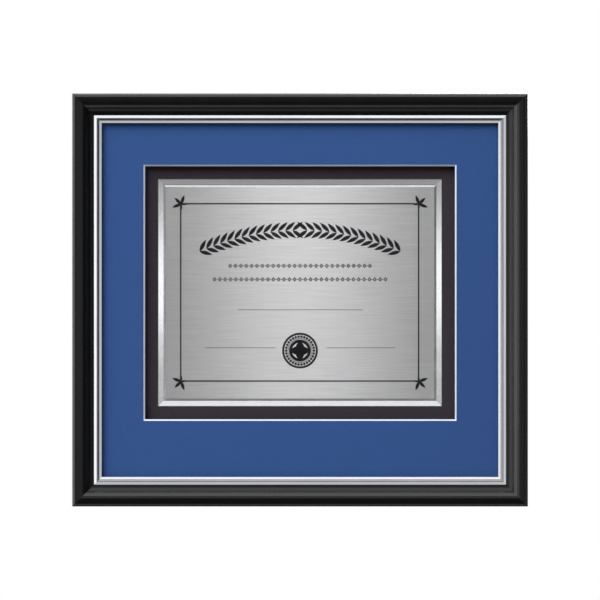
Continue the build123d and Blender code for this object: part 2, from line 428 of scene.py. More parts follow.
def round_edges(
    bm: BMesh, edges: Sequence[BMEdge], width: float, segments: int, clamp: bool = False,
) -> None:
    """Rounds edges off.

    Args:
        bm: Shape that they belong to.
        edges: Edges to round.
        width: Distance from an edge at which its rounding starts.
        segments: Number of faces across a rounding.
        clamp: Whether roundings stop where they would overlap.
    """
    bmesh.ops.bevel(
        bm, geom=edges, offset=width, offset_type="OFFSET", segments=segments, profile=0.5, affect="EDGES",
        material=-1, clamp_overlap=clamp)


class Side(Enum):
    """Sides of the frame, by the turn in degrees that takes the bottom one there."""

    BOTTOM = 0
    LEFT = 90
    TOP = 180
    RIGHT = -90

    @property
    def label(self) -> str:
        """The side's name as the CAD nodes have it."""
        return self.name.lower()

    @property
    def turn(self) -> Matrix:
        """Rotation that takes a shape on the bottom side to this one."""
        return Matrix.Rotation(math.radians(self.value), 4, "Y")


@dataclass(frozen=True)
class FrameSize:
    """Outer size of the frame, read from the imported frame.

    Attributes:
        width: Size from side to side.
        height: Size from bottom to top.
        rail_back: Depth of the rails' back.
    """

    width: float
    height: float
    rail_back: float

    @classmethod
    def read(cls) -> "FrameSize":
        """Reads the sizes from the rails' boxes."""
        low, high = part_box("bottom_rail")
        return cls(high.x - low.x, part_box("top_rail")[1].z - low.z, high.y)

    def length(self, side: Side) -> float:
        """Outer length of the rail on one side."""
        return self.width if side in (Side.TOP, Side.BOTTOM) else self.height

    def foot(self, side: Side) -> float:
        """Height of a side's outer edge when it lies at the bottom."""
        return -(self.height if side in (Side.TOP, Side.BOTTOM) else self.width) / 2


@dataclass(frozen=True)
class Corner:
    """Corner of a moulding's section, with the face from it to the next corner.

    Attributes:
        setback: Distance in from the frame's outer side.
        height: Distance forward from the rails' back.
        rounding: Distance from the corner at which its rounding starts.
        bow: How far the face swells out from a straight line. Below zero it is hollow.
        layer: Number of the face's finish.
    """

    setback: float
    height: float
    rounding: float = 0.0
    bow: float = 0.0
    layer: int = 0


@dataclass
class Moulding:
    """Four mitred sticks of one section round the frame.

    Attributes:
        size: The frame's size.
        finishes: Materials, by the numbers that the corners give their faces.
        suffix: End of the pieces' names, after the side.
        node_suffix: End of the CAD nodes' names, after the side.
        rounding_segments: Number of faces across a rounded edge.
        bow_steps: Number of faces across a bowed face.
    """

    size: FrameSize
    finishes: tuple[Finish, ...]
    suffix: str
    node_suffix: str
    rounding_segments: int = 8
    bow_steps: int = 16

    def corners(self) -> list[Corner]:
        """Corners of the section in order round it."""
        raise NotImplementedError

    def build(self) -> None:
        """Makes the four sticks."""
        for side in Side:
            add_piece(
                f"{side.label}_{self.suffix}", self.stick(side), self.finishes,
                replaced=(f"{side.label}_{self.node_suffix}",))

    def stick(self, side: Side) -> BMesh:
        """Models one stick.

        Args:
            side: Side of the frame that it is on.

        Returns:
            The stick in its place.
        """
        bm = bmesh.new()
        half = self.size.length(side) / 2
        foot = self.size.foot(side)
        runs = self.draw_section(bm, half, foot)
        cap = bmesh.ops.contextual_create(bm, geom=bm.edges[:])["faces"]
        extrude(bm, cap, (2 * half, 0, 0))
        rounded = []
        for corner, here, edges in runs:
            for edge in edges:
                # A wall has four corners, and the section at the stick's end has more.
                wall = next(face for face in edge.link_faces if len(face.verts) == 4)
                wall.material_index = corner.layer
            if corner.rounding:
                lengthwise = [edge for edge in here.link_edges if edge.calc_length() > half]
                rounded.append((lengthwise, corner.rounding))
        for edges, rounding in rounded:
            round_edges(bm, edges, rounding, self.rounding_segments)
        for end in (-1, 1):
            self.cut_mitre(bm, end, foot)
        map_lengthwise(bm)
        bmesh.ops.transform(bm, matrix=side.turn, verts=bm.verts[:])
        return bm

    def draw_section(
        self, bm: BMesh, half: float, foot: float,
    ) -> list[tuple[Corner, BMVert, list[BMEdge]]]:
        """Draws the section at the left end of a stick.

        Args:
            bm: Shape that takes it.
            half: Half the stick's length.
            foot: Height of its outer edge.

        Returns:
            Each corner, with its vertex and the edges of the face after it.
        """
        corners = self.corners()
        starts = [bm.verts.new((-half, self.size.rail_back - c.height, foot + c.setback)) for c in corners]
        runs = []
        for corner, here, there in zip(corners, starts, starts[1:] + starts[:1]):
            if corner.bow:
                edges = self.bow_edge(bm, here, there, corner.bow)
            else:
                edges = [bm.edges.new((here, there))]
            runs.append((corner, here, edges))
        return runs

    def cut_mitre(self, bm: BMesh, end: int, foot: float) -> None:
        """Shears one end of a stick to 45 degrees.

        Args:
            bm: The stick.
            end: -1 for the left end, 1 for the right one.
            foot: Height of its outer edge, which keeps its length.
        """
        shear = Matrix.Identity(4)
        shear[0][2] = -end
        shear[0][3] = end * foot
        bmesh.ops.transform(bm, matrix=shear, verts=[v for v in bm.verts if v.co.x * end > 0])

    def bow_edge(self, bm: BMesh, here: BMVert, there: BMVert, bow: float) -> list[BMEdge]:
        """Joins two corners by an arc.

        Args:
            bm: The section.
            here: Corner where the arc starts.
            there: Corner where it ends.
            bow: How far the arc swells out from the straight line. Below zero it is hollow.

        Returns:
            The arc's edges.
        """
        older = set(bm.edges)
        chord = there.co - here.co
        rise = abs(bow)
        radius = (chord.length ** 2 / 4 + rise ** 2) / (2 * rise)
        outward = Vector((0, -chord.z, chord.y)).normalized()
        centre = (here.co + there.co) / 2 - outward * math.copysign(radius - rise, bow)
        angle = 2 * math.asin(chord.length / 2 / radius)
        turn = math.copysign(angle, (here.co - centre).cross(there.co - centre).x)
        spun = bmesh.ops.spin(
            bm, geom=[here], cent=centre, axis=(1, 0, 0), angle=turn, steps=self.bow_steps)
        last = next(item for item in spun["geom_last"] if isinstance(item, BMVert))
        bmesh.ops.weld_verts(bm, targetmap={last: there})
        return [edge for edge in bm.edges if edge not in older]


@dataclass
class LacqueredRails(Moulding):
    """Black rails: rounded shoulder, rising band, round nose, scooped inner slope, lip and rabbet."""

    black_face_width: float = SLIP_SETBACK
    face_width: float = 26.25 * MM
    rabbet_width: float = 6.35 * MM
    rabbet_depth: float = 14.5 * MM
    slip_seat: float = SLIP_SEAT
    scoop_foot: float = 18.4 * MM
    crest: float = 24.8 * MM
    crest_setback: float = 7.2 * MM
    nose_radius: float = 7.0 * MM
    band_slope: float = math.radians(12)
    scoop_slope: float = math.radians(56)
    shoulder_rounding: float = 3.64 * MM
    edge_rounding: float = 0.5 * MM

    def corners(self) -> list[Corner]:
        """Works out the section.

        Returns:
            Its corners, from the nose inward and round the back.
        """
        rabbet_wall = self.face_width - self.rabbet_width
        band_end = self.nose_corner(-self.band_slope, (self.band_slope + self.scoop_slope) / 2)
        nose_end = self.nose_corner(self.scoop_slope, 0.0)
        shoulder_height = band_end.height - band_end.setback * math.tan(self.band_slope)
        return [
            band_end,
            replace(nose_end, bow=-self.scoop_hollow(nose_end), layer=1),
            Corner(self.black_face_width, self.scoop_foot),
            Corner(self.black_face_width, self.slip_seat),
            Corner(self.face_width, self.slip_seat),
            Corner(self.face_width, self.rabbet_depth),
            Corner(rabbet_wall, self.rabbet_depth),
            Corner(rabbet_wall, 0, self.edge_rounding),
            Corner(0, 0, self.edge_rounding),
            Corner(0, shoulder_height, self.shoulder_rounding),
        ]

    def nose_corner(self, slope: float, half_turn: float) -> Corner:
        """Corner on the nose's circle.

        Args:
            slope: How far the surface there falls inward, as an angle.
            half_turn: Half the angle that the nose turns through after it.

        Returns:
            The corner, with the nose's bow after it.
        """
        return Corner(
            self.crest_setback + self.nose_radius * math.sin(slope),
            self.crest - self.nose_radius * (1 - math.cos(slope)),
            bow=self.nose_radius * (1 - math.cos(half_turn)))

    def scoop_hollow(self, nose_end: Corner) -> float:
        """Depth of the hollow that runs smoothly from the nose to the scoop's foot.

        Args:
            nose_end: Corner where the nose ends and the scoop starts.

        Returns:
            Depth below the straight line.
        """
        run = self.black_face_width - nose_end.setback
        fall = nose_end.height - self.scoop_foot
        lean = self.scoop_slope - math.atan2(fall, run)
        return math.hypot(run, fall) / 2 * math.tan(lean / 2)


@dataclass
class SilverSlips(Moulding):
    """Silver slips: a facet that faces outward, a slope darkened with painted shade and a facet that faces
    inward.
    """

    setback: float = SLIP_SETBACK
    seat: float = SLIP_SEAT
    outer_facet_width: float = 3.1 * MM
    groove_width: float = 1.75 * MM
    inner_facet_width: float = 2.2 * MM
    outer_height: float = 1.7 * MM
    crest_height: float = 2.8 * MM
    groove_height: float = 1.4 * MM
    inner_height: float = 1.6 * MM
    edge_height: float = 0.9 * MM
    arris: float = 0.15 * MM
    crest_rounding: float = 0.7 * MM
    rounding_segments: int = 6

    def corners(self) -> list[Corner]:
        """Works out the section.

        Returns:
            Its corners, from the outer side inward.
        """
        groove_start = self.setback + self.outer_facet_width
        groove_end = groove_start + self.groove_width
        sight_edge = groove_end + self.inner_facet_width
        return [
            Corner(self.setback, self.seat),
            Corner(self.setback, self.seat + self.outer_height),
            # The slope after this corner takes the painted shade of the groove.
            Corner(groove_start, self.seat + self.crest_height, self.crest_rounding, layer=1),
            Corner(groove_end, self.seat + self.groove_height),
            Corner(groove_end, self.seat + self.inner_height, self.arris),
            Corner(sight_edge, self.seat + self.edge_height, self.arris),
            Corner(sight_edge, self.seat),
        ]


def add_rectangle(bm: BMesh, low: Vector, high: Vector, y: float, inset: float = 0.0) -> list[BMEdge]:
    """Adds a four-sided loop that faces the viewer.

    Args:
        bm: Shape that takes it.
        low: Lowest corner of a box that it follows.
        high: Highest corner of that box.
        y: Depth that it lies at.
        inset: How far it is drawn in from the box.

    Returns:
        The loop's edges.
    """
    left, right = low.x + inset, high.x - inset
    bottom, top = low.z + inset, high.z - inset
    places = ((left, bottom), (right, bottom), (right, top), (left, top))
    corners = [bm.verts.new((x, y, z)) for x, z in places]
    return [bm.edges.new(pair) for pair in zip(corners, corners[1:] + corners[:1])]


def bridge(bm: BMesh, loops: Sequence[list[BMEdge]]) -> None:
    """Joins each loop of edges to the next by faces."""
    for one, other in zip(loops, loops[1:]):
        bmesh.ops.bridge_loops(bm, edges=one + other)


@dataclass
class WindowMat:
    """Blue mat board with a window whose white core shows in a 45 degree cut.

    Attributes:
        window_reveal: How far the blue face's window stands off the plate.
        cut_width: Width of the cut. What is left of the board's thickness below it is square.
    """

    window_reveal: float = 12.8 * MM
    cut_width: float = 1.3 * MM

    def build(self) -> None:
        """Makes the mat."""
        low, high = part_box("window_mat")
        plate_low, plate_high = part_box("border_plate")
        thickness = high.y - low.y
        bm = bmesh.new()
        cut_foot = self.cut_width - self.window_reveal
        loops = [
            add_rectangle(bm, low, high, low.y),
            add_rectangle(bm, plate_low, plate_high, low.y, -self.window_reveal),
            add_rectangle(bm, plate_low, plate_high, low.y + self.cut_width, cut_foot),
            add_rectangle(bm, plate_low, plate_high, high.y, cut_foot),
            add_rectangle(bm, low, high, high.y),
        ]
        bridge(bm, loops + loops[:1])
        bm.normal_update()
        for face in bm.faces:
            is_front = all(abs(v.co.y - low.y) < thickness / 2 for v in face.verts)
            face.material_index = 0 if is_front else 1
        add_piece("window_mat_board", bm, (BLUE_PAPER, WHITE_CORE), replaced=("window_mat",))


@dataclass
class MetalPlate:
    """Metal plate drawn as loops from its back to the middle of its front, with its arrises taken off.

    Attributes:
        node: CAD node that it stands for.
        name: Piece's name.
        flat_finish: Material of its flat faces.
        edge_finish: Material of its slopes and edges.
        arris: Width of the rounding on its edges.
        rounding_segments: Number of faces across it.
    """

    node: str
    name: str
    flat_finish: Finish
    edge_finish: Finish
    arris: float = 0.12 * MM
    rounding_segments: int = 2

    def steps(self, front: float, back: float) -> list[tuple[float, float]]:
        """Depth and inset of each loop, from the back edge to the middle of the front."""
        raise NotImplementedError

    def build(self) -> None:
        """Makes the plate."""
        low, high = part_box(self.node)
        bm = bmesh.new()
        loops = [add_rectangle(bm, low, high, depth, inset) for depth, inset in self.steps(low.y, high.y)]
        bridge(bm, loops)
        for end in (loops[0], loops[-1]):
            bmesh.ops.contextual_create(bm, geom=end)
        edges = [edge for loop in loops[1:] for edge in loop]
        round_edges(bm, edges, self.arris, self.rounding_segments)
        map_lengthwise(bm)
        bm.normal_update()
        for face in bm.faces:
            face.material_index = 0 if abs(face.normal.y) > math.cos(FLAT_FACES) else 1
        finishes = (self.flat_finish, self.edge_finish)
        add_piece(self.name, bm, finishes, replaced=(self.node,), sharp_angle=FLAT_FACES)


@dataclass
class BorderPlate(MetalPlate):
    """Dished plate whose rim slopes inward to a flat floor.

    Attributes:
        rim_land: Width of the flat along the top of the rim.
        slope_width: Width of the slope, seen from the front.
        floor_thickness: Thickness of the metal at the floor.
    """

    rim_land: float = 0.3 * MM
    slope_width: float = 4.8 * MM
    floor_thickness: float = 1.0 * MM

    def steps(self, front: float, back: float) -> list[tuple[float, float]]:
        """Depth and inset of each loop, from the back edge over the rim to the floor."""
        floor = back - self.floor_thickness
        return [(back, 0), (front, 0), (front, self.rim_land), (floor, self.rim_land + self.slope_width)]


@dataclass
class CertificatePlate(MetalPlate):
    """Flat plate whose front edges fall away in a bevel.

    Attributes:
        bevel_width: Width of the bevel, seen from the front.
        bevel_drop: How far the front falls away across it.
    """

    bevel_width: float = 1.6 * MM
    bevel_drop: float = 0.7 * MM

    def steps(self, front: float, back: float) -> list[tuple[float, float]]:
        """Depth and inset of each loop, from the back edge over the bevel to the front."""
        return [(back, 0), (front + self.bevel_drop, 0), (front, self.bevel_width)]


@dataclass
class Engraving:
    """Enamel-filled ornament on the plate: rope border, corner sprigs, laurel arch, rows, rules and a seal.

    Places are from the plate's middle, X to the right and Z up.

    Attributes:
        leaf_taper: How much a leaf's widest part lies nearer to its foot, from 0 to 1.
        rope_lead: Share of the pitch by which the first strand starts past the corner.
        rope_overlap: Length of a strand as a share of the pitch.
        sprig_spread: Each leaf's angle from outward, in degrees, and its size as a share of the largest.
        rows: Height and width of each row.
        lozenge_hole: Size of a lozenge's hole as a share of its own.
        rules: Start, end and height of each rule.
        seal_rings: Diameter of each ring, and the size of its hole as a share of its own.
    """

    proud: float = 0.03 * MM
    depth: float = 0.10 * MM
    leaf_sides: int = 12
    leaf_taper: float = 0.3
    border_half_width: float = 106.4 * MM
    border_half_height: float = 79.3 * MM
    rope_pitch: float = 2.0 * MM
    rope_lead: float = 0.1
    rope_width: float = 1.5 * MM
    rope_slant: float = math.radians(14)
    rope_overlap: float = 1.45
    sprig_leaf: float = 8.6 * MM
    sprig_leaf_width: float = 3.0 * MM
    sprig_spread: tuple[tuple[float, float], ...] = (
        (0, 0.96), (65, 1.0), (-65, 1.0), (140, 0.6), (-140, 0.6))
    arch_radius: float = 222.0 * MM
    arch_rise: float = 56.0 * MM
    arch_half_width: float = 91.5 * MM
    laurel_pitch: float = 6.6 * MM
    laurel_leaf: float = 12.0 * MM
    laurel_leaf_width: float = 3.5 * MM
    laurel_slant: float = math.radians(38)
    rows: tuple[tuple[float, float], ...] = ((24.1 * MM, 125 * MM), (12.0 * MM, 153 * MM))
    row_pitch: float = 4.8 * MM
    row_dot: float = 0.84 * MM
    row_dot_sides: int = 8
    lozenge_width: float = 3.57 * MM
    lozenge_height: float = 4.2 * MM
    lozenge_hole: float = 0.4
    rules: tuple[Point, ...] = (
        (-56.0 * MM, 56.0 * MM, -15.2 * MM),
        (-84.7 * MM, -22.1 * MM, -49.2 * MM),
        (23.5 * MM, 85.2 * MM, -49.2 * MM),
    )
    rule_width: float = 0.45 * MM
    seal_fall: float = 51.7 * MM
    seal_rings: tuple[tuple[float, float], ...] = (
        (32.0 * MM, 0.88), (22.08 * MM, 0.95), (19.84 * MM, 0.72))
    petals: int = 4
    petal: float = 8.64 * MM
    petal_width: float = 7.36 * MM
    beads: int = 30
    bead: float = 2.4 * MM
    bead_sides: int = 10
    bead_circle: float = 12.48 * MM

    origin: Vector = field(init=False)

    def __post_init__(self) -> None:
        """Finds the plate's middle on its front face."""
        low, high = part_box("certificate_plate")
        self.origin = Vector(((low.x + high.x) / 2, low.y - self.proud, (low.z + high.z) / 2))

    def place(
        self, x: float, z: float, turn: float = 0.0, length: float = 1.0, width: float = 1.0,
    ) -> Matrix:
        """Where a flat unit shape goes on the plate.

        Args:
            x: Place to the right of the plate's middle.
            z: Place above it.
            turn: Angle from the right, anticlockwise.
            length: Size along that angle.
            width: Size across it.

        Returns:
            Matrix from a shape in X and Y, one unit in size, to the plate's face.
        """
        flat = Matrix.Rotation(turn, 4, "Z") @ Matrix.Diagonal((length, width, 1, 1))
        return Matrix.Translation(self.origin + Vector((x, 0, z))) @ UPRIGHT @ flat

    def add_leaf(self, bm: BMesh, x: float, z: float, turn: float, length: float, width: float) -> None:
        """Adds a pointed leaf.

        Args:
            bm: Shape that takes it.
            x: Place of its foot to the right of the plate's middle.
            z: Place of its foot above it.
            turn: Angle that it points along.
            length: Its length.
            width: Its width.
        """
        made = bmesh.ops.create_circle(bm, cap_ends=True, segments=self.leaf_sides, radius=UNIT_RADIUS)
        for vert in made["verts"]:
            along = vert.co.x / UNIT_RADIUS
            vert.co.y *= math.sqrt(max(0.0, 1 - along ** 2)) * (1 - self.leaf_taper * along)
            vert.co.x += UNIT_RADIUS
        bmesh.ops.transform(bm, verts=made["verts"], matrix=self.place(x, z, turn, length, width))

    def add_dot(self, bm: BMesh, x: float, z: float, size: float, sides: int) -> None:
        """Adds a round dot."""
        place = self.place(x, z, length=size, width=size)
        bmesh.ops.create_circle(bm, cap_ends=True, segments=sides, radius=UNIT_RADIUS, matrix=place)

    def add_ring(self, bm: BMesh, place: Matrix, inner: float, sides: int = 64) -> None:
        """Adds a flat ring, or an open lozenge where it has four sides.

        Args:
            bm: Shape that takes it.
            place: Where a shape one unit in size goes.
            inner: Size of its hole, as a share of its own.
            sides: Number of its sides.
        """
        edges = []
        for radius in (UNIT_RADIUS, UNIT_RADIUS * inner):
            made = bmesh.ops.create_circle(bm, segments=sides, radius=radius, matrix=place)
            edges += list({e for v in made["verts"] for e in v.link_edges})
        bmesh.ops.bridge_loops(bm, edges=edges)

    def finish(self, name: str, bm: BMesh) -> None:
        """Gives flat shapes their depth in the plate and adds them as one piece."""
        extrude(bm, bm.faces[:], (0, self.depth, 0), keep=True)
        add_piece(name, bm, (BLACK_ENAMEL,))

    def build(self) -> None:
        """Makes every part of the engraving."""
        for name, draw in (
            ("engraved_rope_border", self.draw_border),
            ("engraved_corner_sprigs", self.draw_sprigs),
            ("engraved_laurel_arch", self.draw_arch),
            ("engraved_rows", self.draw_rows),
            ("engraved_rules", self.draw_rules),
            ("engraved_rosette_seal", self.draw_seal),
        ):
            bm = bmesh.new()
            draw(bm)
            self.finish(name, bm)

    def draw_border(self, bm: BMesh) -> None:
        """Draws a rope round the plate as slanting strands.

        Args:
            bm: Shape that takes it.
        """
        strand = self.rope_overlap * self.rope_pitch
        for half_run, half_gap, turn in (
            (self.border_half_width, self.border_half_height, 0.0),
            (self.border_half_height, self.border_half_width, math.pi / 2),
        ):
            count = round(2 * half_run / self.rope_pitch)
            for index in range(count):
                along = -half_run + (index + self.rope_lead) * 2 * half_run / count
                for across in (-half_gap, half_gap):
                    x, z = (across, along) if turn else (along, across)
                    self.add_leaf(bm, x, z, turn + self.rope_slant, strand, self.rope_width)

    def draw_sprigs(self, bm: BMesh) -> None:
        """Draws a sprig of leaves that points outward at each corner of the border.

        Args:
            bm: Shape that takes them.
        """
        for right in (-1, 1):
            for up in (-1, 1):
                outward = math.atan2(up, right)
                x, z = right * self.border_half_width, up * self.border_half_height
                for angle, share in self.sprig_spread:
                    turn = outward + math.radians(angle)
                    self.add_leaf(bm, x, z, turn, share * self.sprig_leaf, share * self.sprig_leaf_width)

    def draw_arch(self, bm: BMesh) -> None:
        """Draws two laurel branches that climb along an arch and meet at its top.

        Args:
            bm: Shape that takes them.
        """
        half_angle = math.asin(self.arch_half_width / self.arch_radius)
        step = self.laurel_pitch / self.arch_radius
        count = int(half_angle / step)
        for hand in (-1, 1):
            for index in range(1, count + 1):
                angle = hand * index * step
                x = self.arch_radius * math.sin(angle)
                z = self.arch_rise - self.arch_radius * (1 - math.cos(angle))
                tangent = math.pi / 2 - angle + hand * math.pi / 2
                for lean in (-1, 1):
                    turn = tangent + lean * self.laurel_slant
                    self.add_leaf(bm, x, z, turn, self.laurel_leaf, self.laurel_leaf_width)

    def draw_rows(self, bm: BMesh) -> None:
        """Draws rows of open lozenges with dots between them.

        Args:
            bm: Shape that takes them.
        """
        for z, width in self.rows:
            count = round(2 * width / self.row_pitch)
            for index in range(count + 1):
                x = (index / count - 0.5) * width
                if index % 2:
                    self.add_dot(bm, x, z, self.row_dot, self.row_dot_sides)
                else:
                    place = self.place(x, z, length=self.lozenge_width, width=self.lozenge_height)
                    self.add_ring(bm, place, self.lozenge_hole, sides=4)

    def draw_rules(self, bm: BMesh) -> None:
        """Draws blank rules from left to right.

        Args:
            bm: Shape that takes them.
        """
        for start, end, z in self.rules:
            place = self.place((start + end) / 2, z, length=end - start, width=self.rule_width)
            bmesh.ops.create_grid(bm, x_segments=1, y_segments=1, size=UNIT_RADIUS, matrix=place)

    def draw_seal(self, bm: BMesh) -> None:
        """Draws a rosette inside rings and a circle of beads.

        Args:
            bm: Shape that takes it.
        """
        for size, hole in self.seal_rings:
            self.add_ring(bm, self.place(0, -self.seal_fall, length=size, width=size), hole)
        for index in range(self.petals):
            turn = 2 * math.pi * index / self.petals
            self.add_leaf(bm, 0, -self.seal_fall, turn, self.petal, self.petal_width)
        for index in range(self.beads):
            turn = 2 * math.pi * index / self.beads
            x = self.bead_circle * math.cos(turn)
            z = self.bead_circle * math.sin(turn) - self.seal_fall
            self.add_dot(bm, x, z, self.bead, self.bead_sides)


@dataclass
class TurnButtons:
    """Stamped steel buttons that hold the backing in, each on its own screw.

    Attributes:
        bore_diameter: Diameter of the screw's hole.
        edge_rounding: Width of the rounding on the rims.
        rounding_segments: Number of faces across it.
        rim_angle: Least angle between two faces whose edge is a rim.
        segments: Number of sides of the hole and of the round ends together.
    """

    bore_diameter: float = 3.1 * MM
    edge_rounding: float = 0.3 * MM
    rounding_segments: int = 3
    rim_angle: float = math.radians(60)
    segments: int = 48

    def build(self) -> None:
        """Makes a button for each hinge that turns one."""
        for joint in frame["joints"]:
            if joint["name"].startswith("button_turn_"):
                self.add_button(joint["child"], Vector(joint["pos_m"]))

    def add_button(self, node: str, pivot: Vector) -> None:
        """Makes one button.

        Args:
            node: CAD node, and body, that it stands for.
            pivot: Point on the axis that it turns about.
        """
        low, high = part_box(node)
        width = min(high.x - low.x, high.z - low.z)
        length = max(high.x - low.x, high.z - low.z)
        inward = (low + high) / 2 - pivot
        bm = bmesh.new()
        outline = bmesh.ops.create_circle(bm, segments=self.segments, radius=width / 2)["verts"]
        bmesh.ops.translate(bm, verts=[v for v in outline if v.co.x > 0], vec=(length - width, 0, 0))
        bmesh.ops.create_circle(bm, segments=self.segments, radius=self.bore_diameter / 2)
        ring = bmesh.ops.bridge_loops(bm, edges=bm.edges[:])["faces"]
        extrude(bm, ring, (0, 0, high.y - low.y))
        bmesh.ops.recalc_face_normals(bm, faces=bm.faces[:])
        rims = [e for e in bm.edges if e.calc_face_angle(0) > self.rim_angle]
        round_edges(bm, rims, self.edge_rounding, self.rounding_segments)
        turn = Matrix.Rotation(math.atan2(inward.z, inward.x), 4, "Z")
        place = Matrix.Translation((pivot.x, high.y, pivot.z))
        bmesh.ops.transform(bm, matrix=place @ UPRIGHT @ turn, verts=bm.verts[:])
        add_piece(f"{node}_stamping", bm, (ZINC_STEEL,), body=node, replaced=(node,))


@dataclass
class CornerNails:
    """Bent steel nails across the mitres, two at each corner, driven in from the back."""

    size: FrameSize
    wing: float = 4.5 * MM
    thickness: float = 0.6 * MM
    depth: float = 10.0 * MM
    proud: float = 0.05 * MM
    setbacks: tuple[float, ...] = (5.0 * MM, 12.0 * MM)

    def build(self) -> None:
        """Makes all the nails as one piece."""
        bm = bmesh.new()
        for side in Side:
            for setback in self.setbacks:
                self.add_nail(bm, side, setback)
        add_piece("corner_v_nail_set", bm, (ZINC_STEEL,), replaced=("corner_v_nails",))

    def add_nail(self, bm: BMesh, side: Side, setback: float) -> None:
        """Adds one nail.

        Args:
            bm: Shape that takes it.
            side: Rail whose start it is at.
            setback: Distance of its bend from both outer sides.
        """
        wing, thick, back = self.wing, self.thickness, self.size.rail_back + self.proud
        bend = ((0, 0), (wing, 0), (wing, thick), (thick, thick), (thick, wing), (0, wing))
        start, foot = setback - self.size.length(side) / 2, setback + self.size.foot(side)
        outline = [bm.verts.new((start + x, back, foot + z)) for x, z in bend]
        deep = extrude(bm, [bm.faces.new(outline)], (0, -self.depth, 0))
        bmesh.ops.transform(bm, matrix=side.turn, verts=outline + deep)


@dataclass
class Fittings:
    """Hangers, screws and bumpers: merged copies of the CAD shapes with their arrises taken off.

    Attributes:
        merge_distance: Least distance between two points of a shape.
        flat_angle: Greatest angle between two faces that are one flat face.
        arris: Width of the rounding on the edges.
        rounding_segments: Number of faces across it.
        arris_angle: Least angle between two faces whose edge is rounded.
    """

    merge_distance: float = 0.002 * MM
    flat_angle: float = math.radians(0.5)
    arris: float = 0.12 * MM
    rounding_segments: int = 2
    arris_angle: float = math.radians(40)

    def build(self) -> None:
        """Makes every fitting."""
        for node, finish, body in (
            ("turn_button_screws", ZINC_STEEL, FRAME_BODY),
            ("hanger_screws", ZINC_STEEL, FRAME_BODY),
            ("left_strap_hanger", ZINC_STEEL, FRAME_BODY),
            ("right_strap_hanger", ZINC_STEEL, FRAME_BODY),
            ("left_hanging_ring", ZINC_STEEL, "left_hanging_ring"),
            ("right_hanging_ring", ZINC_STEEL, "right_hanging_ring"),
            ("wall_bumpers", BUMPER_RUBBER, FRAME_BODY),
        ):
            self.add_fitting(node, finish, body)

    def add_fitting(self, node: str, finish: Finish, body: str) -> None:
        """Makes one fitting.

        Args:
            node: CAD node that it stands for.
            finish: Its material.
            body: CAD body that it moves with.
        """
        source = frame["nodes"][node]
        bm = bmesh.new()
        bm.from_mesh(source.data)
        bmesh.ops.transform(bm, matrix=source.matrix_world, verts=bm.verts[:])
        bmesh.ops.remove_doubles(bm, verts=bm.verts[:], dist=self.merge_distance)
        bmesh.ops.dissolve_limit(bm, angle_limit=self.flat_angle, verts=bm.verts[:], edges=bm.edges[:])
        bmesh.ops.recalc_face_normals(bm, faces=bm.faces[:])
        arrises = [e for e in bm.edges if e.is_manifold and e.calc_face_angle(0) > self.arris_angle]
        round_edges(bm, arrises, self.arris, self.rounding_segments, clamp=True)
        add_piece(f"{node}_fitting", bm, (finish,), body=body, replaced=(node,))


@dataclass
class Layers:
    """Sheets in the rabbet that keep their CAD shapes."""

    finishes: dict[str, Finish] = field(default_factory=lambda: {
        "glazing_sheet": GLAZING,
        "mount_board": BLACK_CARD,
        "top_spacer": FOAM_BOARD,
        "bottom_spacer": FOAM_BOARD,
        "left_spacer": FOAM_BOARD,
        "right_spacer": FOAM_BOARD,
        "plate_tape": FOAM_TAPE,
        "backing_board": HARDBOARD,
    })

    def build(self) -> None:
        """Dresses every CAD node that stays in view."""
        for name, finish in self.finishes.items():
            dress_node(name, finish)


# Pieces that lamps are flagged for, by name.
SLIPS = tuple(f"{side.label}_slip_moulding" for side in Side)
TOP_SLIP = ("top_slip_moulding",)
LOWER_SLIPS = tuple(name for name in SLIPS if name not in TOP_SLIP)
UPPER_RAILS = tuple(f"{side.label}_rail_moulding" for side in Side if side is not Side.BOTTOM)
BOTTOM_RAIL = ("bottom_rail_moulding",)
SIDE_RAILS = ("left_rail_moulding", "right_rail_moulding")
RIGHT_RAIL = ("right_rail_moulding",)
CERTIFICATE = ("brushed_certificate_plate",)
BORDER = ("polished_border_plate",)
PLATES = CERTIFICATE + BORDER
MAT = ("window_mat_board",)
GLASS = ("glazing_sheet",)
FLOOR = (FLOOR_NAME,)


def linked_set(name: str, pieces: Sequence[str], state: str) -> bpy.types.Collection:
    """Lists pieces that a lamp treats apart from the rest.

    Args:
        name: Name of the list.
        pieces: Names of the pieces.
        state: INCLUDE where the lamp is for them alone, EXCLUDE where it is for all the others.

    Returns:
        A collection outside the scene.
    """
    listed = bpy.data.collections.new(name)
    for piece in pieces:
        listed.objects.link(bpy.data.objects[piece])
    for entry in listed.collection_objects:
        entry.light_linking.link_state = state
    return listed


class Reach(Enum):
    """Surfaces that a lamp shows on: all of them, only glossy ones or only matt ones."""

    ALL = (True, True)
    GLOSS = (True, False)
    MATT = (False, True)


